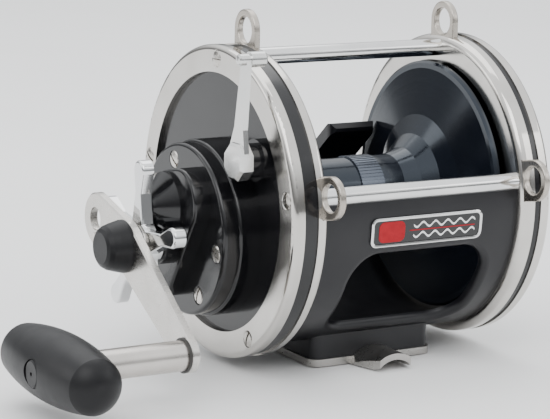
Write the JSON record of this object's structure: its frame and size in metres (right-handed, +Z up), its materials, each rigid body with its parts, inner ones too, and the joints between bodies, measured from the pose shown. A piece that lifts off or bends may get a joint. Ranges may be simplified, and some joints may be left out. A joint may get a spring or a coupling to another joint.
{
  "type": "trolling reel",
  "caption": "Star-drag trolling reel with ringed black side plates, an open-front frame, a free-spool lever, harness eyes, a torpedo grip and a clamp-on foot.",
  "frame": {"origin": "centre of the foot's flat underside", "axes": "+X along the spool's axis from the crank side to the tail side, -Y towards the line exit, +Z up from the rod through the spool"},
  "size_m": [0.2363, 0.1494, 0.1451],
  "materials": {
    "satin_steel": "satin",
    "chrome_trim": "polished",
    "black_plate": "gloss",
    "black_frame": "satin anodised",
    "black_spool": "gloss anodised",
    "rubber_black": "matte",
    "brass_gear": "machined",
    "fibre": "matte",
    "nameplate_black": "gloss"
  },
  "bodies": {
    "frame": {"bearing_balls": "satin_steel", "bearing_cap": "black_plate", "bearing_outer_races": "satin_steel", "bridge_plate": "brass_gear", "bridge_screws": "satin_steel", "cover_screws": "satin_steel", "dog_pivot": "satin_steel", "dog_spring": "satin_steel", "foot_plate": "satin_steel", "foot_screws": "satin_steel", "frame_shell": "black_frame", "front_bar": "chrome_trim", "gear_cover": "black_plate", "gear_stud": "satin_steel", "harness_lugs": "satin_steel", "inner_ring_crank": "satin_steel", "inner_ring_tail": "satin_steel", "lever_bushing": "black_plate", "nameplate": "nameplate_black", "outer_ring_crank": "satin_steel", "outer_ring_tail": "satin_steel", "ring_screws_crank": "satin_steel", "ring_screws_tail": "satin_steel", "side_plate_crank": "black_plate", "side_plate_tail": "black_plate", "tail_cap": "black_plate", "tongue_pivot": "satin_steel", "top_bar": "chrome_trim"},
    "spool": {"spool": "black_spool", "arbor_band": "chrome_trim", "spool_shaft": "satin_steel", "click_ratchet": "satin_steel", "bearing_inner_races": "satin_steel"},
    "crank": {"main_gear": "brass_gear", "drag_fibre_washers": "fibre", "drag_metal_washers": "satin_steel", "pressure_washer": "satin_steel", "gear_sleeve": "satin_steel", "ratchet_wheel": "satin_steel", "spacer_sleeve": "satin_steel", "arm_washer": "satin_steel", "crank_arm": "satin_steel", "lock_screw": "satin_steel", "crank_nut": "satin_steel", "nut_cap": "rubber_black", "grip_post": "satin_steel", "post_sleeve": "satin_steel", "post_washer": "rubber_black"},
    "star": {"star_wheel": "chrome_trim"},
    "grip": {"grip": "rubber_black", "grip_plug": "rubber_black"},
    "pinion": {"pinion": "brass_gear"},
    "jack": {"jack": "satin_steel"},
    "lever": {"lever": "chrome_trim", "lever_knob": "chrome_trim", "lever_cam": "satin_steel"},
    "dog": {"dog": "satin_steel"},
    "click_button": {"click_button": "black_plate"},
    "click_tongue": {"click_tongue": "satin_steel"}
  },
  "joints": [
    {"name": "crank_spin", "type": "hinge", "parent": "frame", "child": "crank", "pos_m": [0, 0, 0.0522], "axis": [1, 0, 0], "continuous": true},
    {"name": "spool_spin", "type": "hinge", "parent": "frame", "child": "spool", "pos_m": [0, 0, 0.067], "axis": [1, 0, 0], "continuous": true},
    {"name": "jack_slide", "type": "slide", "parent": "frame", "child": "jack", "axis": [1, 0, 0], "range_m": [-0.0036, 0]},
    {"name": "pinion_spin", "type": "hinge", "parent": "jack", "child": "pinion", "pos_m": [0, 0, 0.067], "axis": [1, 0, 0], "continuous": true},
    {"name": "lever_turn", "type": "hinge", "parent": "frame", "child": "lever", "pos_m": [0, -0.0363, 0.09], "axis": [1, 0, 0], "range_deg": [-70, 0]},
    {"name": "star_turn", "type": "hinge", "parent": "crank", "child": "star", "pos_m": [0, 0, 0.0522], "axis": [1, 0, 0], "range_deg": [-36, 36]},
    {"name": "grip_spin", "type": "hinge", "parent": "crank", "child": "grip", "pos_m": [0, -0.0524, 0.0195], "axis": [1, 0, 0], "continuous": true},
    {"name": "dog_tilt", "type": "hinge", "parent": "frame", "child": "dog", "pos_m": [0, 0.012, 0.043], "axis": [1, 0, 0], "range_deg": [-15, 3]},
    {"name": "click_slide", "type": "slide", "parent": "frame", "child": "click_button", "axis": [0, 1, 0], "range_m": [0, 0.005]},
    {"name": "tongue_tilt", "type": "hinge", "parent": "frame", "child": "click_tongue", "pos_m": [0, 0.022, 0.067], "axis": [1, 0, 0], "range_deg": [-8, 12], "stiffness_Nm_per_rad": 0.01}
  ],
  "couplings": [
    {"joint": "spool_spin", "follows": "crank_spin", "ratio": -2.0833},
    {"joint": "pinion_spin", "follows": "crank_spin", "ratio": -2.0833},
    {"joint": "jack_slide", "follows": "lever_turn", "m_per_rad": 0.0029466}
  ]
}
